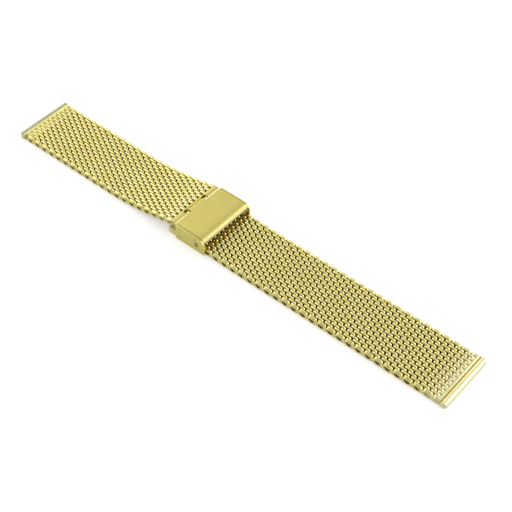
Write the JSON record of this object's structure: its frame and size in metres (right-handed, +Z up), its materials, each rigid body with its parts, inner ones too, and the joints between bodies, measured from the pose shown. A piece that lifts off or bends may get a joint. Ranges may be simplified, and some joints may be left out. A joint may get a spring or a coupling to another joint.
{
  "type": "mesh watch band",
  "caption": "Gold-tone woven mesh watch band, laid flat and closed, with a sliding hook clasp, a hinged cover plate and a spring-bar tube at each end.",
  "frame": {"origin": "under the middle of the band, on the surface that it lies on", "axes": "+X along the band from the short half's free end to the long half's free end, +Y across it, +Z up, away from the wrist"},
  "size_m": [0.1686, 0.021, 0.0061],
  "materials": {
    "mesh": "gold-plated steel wire, polished, flattened weave",
    "cover_satin": "gold-plated steel, satin brushed along the band",
    "clasp_polished": "gold-plated steel, polished",
    "clasp_inner": "gold-plated steel, plain",
    "hinge_polished": "gold-plated steel, bright polish",
    "end_tube": "gold-plated steel, polished"
  },
  "bodies": {
    "clasp": {"clasp_frame": "clasp_polished", "catch_bar": "clasp_polished", "hinge_pin": "clasp_polished", "hook_link": "clasp_inner"},
    "cover": {"cover_plate": "cover_satin"},
    "flap": {"locking_flap": "clasp_inner"},
    "strap_end": {"strap_end_hinge": "hinge_polished", "short_mesh_8": "mesh"},
    "long_tail": {"clasp_mesh": "mesh", "tail_end_cap": "hinge_polished"},
    "short_7": {"short_mesh_7": "mesh"},
    "short_6": {"short_mesh_6": "mesh"},
    "short_5": {"short_mesh_5": "mesh"},
    "short_4": {"short_mesh_4": "mesh"},
    "short_3": {"short_mesh_3": "mesh"},
    "short_2": {"short_mesh_2": "mesh"},
    "short_1": {"short_mesh_1": "mesh", "short_lug_end": "end_tube"},
    "long_1": {"long_mesh_1": "mesh"},
    "long_2": {"long_mesh_2": "mesh"},
    "long_3": {"long_mesh_3": "mesh"},
    "long_4": {"long_mesh_4": "mesh"},
    "long_5": {"long_mesh_5": "mesh"},
    "long_6": {"long_mesh_6": "mesh"},
    "long_7": {"long_mesh_7": "mesh"},
    "long_8": {"long_mesh_8": "mesh"},
    "long_9": {"long_mesh_9": "mesh"},
    "long_10": {"long_mesh_10": "mesh", "long_lug_end": "end_tube"}
  },
  "joints": [
    {"name": "cover_hinge", "type": "hinge", "parent": "clasp", "child": "cover", "pos_m": [-0.01464, 0, 0.00515], "axis": [0, -1, 0], "range_deg": [0, 95]},
    {"name": "flap_pivot", "type": "hinge", "parent": "clasp", "child": "flap", "pos_m": [-0.00539, 0, 0.00303], "axis": [0, 1, 0], "range_deg": [0, 20]},
    {"name": "strap_hinge", "type": "hinge", "parent": "clasp", "child": "strap_end", "pos_m": [-0.01464, 0, 0.00515], "axis": [0, -1, 0], "range_deg": [-80, 10]},
    {"name": "clasp_slide", "type": "slide", "parent": "clasp", "child": "long_tail", "axis": [1, 0, 0], "range_m": [-0.0012, 0.01]},
    {"name": "short_flex_7", "type": "hinge", "parent": "strap_end", "child": "short_7", "pos_m": [-0.02417, 0, 0.00321], "axis": [0, 1, 0], "range_deg": [-45, 45]},
    {"name": "short_flex_6", "type": "hinge", "parent": "short_7", "child": "short_6", "pos_m": [-0.03231, 0, 0.00175], "axis": [0, -1, 0], "range_deg": [-45, 45]},
    {"name": "short_flex_5", "type": "hinge", "parent": "short_6", "child": "short_5", "pos_m": [-0.04056, 0, 0.0011], "axis": [0, -1, 0], "range_deg": [-45, 45]},
    {"name": "short_flex_4", "type": "hinge", "parent": "short_5", "child": "short_4", "pos_m": [-0.04884, 0, 0.0011], "axis": [0, 1, 0], "range_deg": [-45, 45]},
    {"name": "short_flex_3", "type": "hinge", "parent": "short_4", "child": "short_3", "pos_m": [-0.05711, 0, 0.0011], "axis": [0, 1, 0], "range_deg": [-45, 45]},
    {"name": "short_flex_2", "type": "hinge", "parent": "short_3", "child": "short_2", "pos_m": [-0.06539, 0, 0.0011], "axis": [0, -1, 0], "range_deg": [-45, 45]},
    {"name": "short_flex_1", "type": "hinge", "parent": "short_2", "child": "short_1", "pos_m": [-0.07366, 0, 0.0011], "axis": [0, -1, 0], "range_deg": [-45, 45]},
    {"name": "long_flex_1", "type": "hinge", "parent": "long_tail", "child": "long_1", "pos_m": [-0.0008, 0, 0.00152], "axis": [0, -1, 0], "range_deg": [-45, 45]},
    {"name": "long_flex_2", "type": "hinge", "parent": "long_1", "child": "long_2", "pos_m": [0.00746, 0, 0.0011], "axis": [0, 1, 0], "range_deg": [-45, 45]},
    {"name": "long_flex_3", "type": "hinge", "parent": "long_2", "child": "long_3", "pos_m": [0.01574, 0, 0.0011], "axis": [0, 1, 0], "range_deg": [-45, 45]},
    {"name": "long_flex_4", "type": "hinge", "parent": "long_3", "child": "long_4", "pos_m": [0.02401, 0, 0.0011], "axis": [0, -1, 0], "range_deg": [-45, 45]},
    {"name": "long_flex_5", "type": "hinge", "parent": "long_4", "child": "long_5", "pos_m": [0.03229, 0, 0.0011], "axis": [0, -1, 0], "range_deg": [-45, 45]},
    {"name": "long_flex_6", "type": "hinge", "parent": "long_5", "child": "long_6", "pos_m": [0.04056, 0, 0.0011], "axis": [0, 1, 0], "range_deg": [-45, 45]},
    {"name": "long_flex_7", "type": "hinge", "parent": "long_6", "child": "long_7", "pos_m": [0.04884, 0, 0.0011], "axis": [0, 1, 0], "range_deg": [-45, 45]},
    {"name": "long_flex_8", "type": "hinge", "parent": "long_7", "child": "long_8", "pos_m": [0.05711, 0, 0.0011], "axis": [0, -1, 0], "range_deg": [-45, 45]},
    {"name": "long_flex_9", "type": "hinge", "parent": "long_8", "child": "long_9", "pos_m": [0.06539, 0, 0.0011], "axis": [0, -1, 0], "range_deg": [-45, 45]},
    {"name": "long_flex_10", "type": "hinge", "parent": "long_9", "child": "long_10", "pos_m": [0.07366, 0, 0.0011], "axis": [0, 1, 0], "range_deg": [-45, 45]}
  ]
}
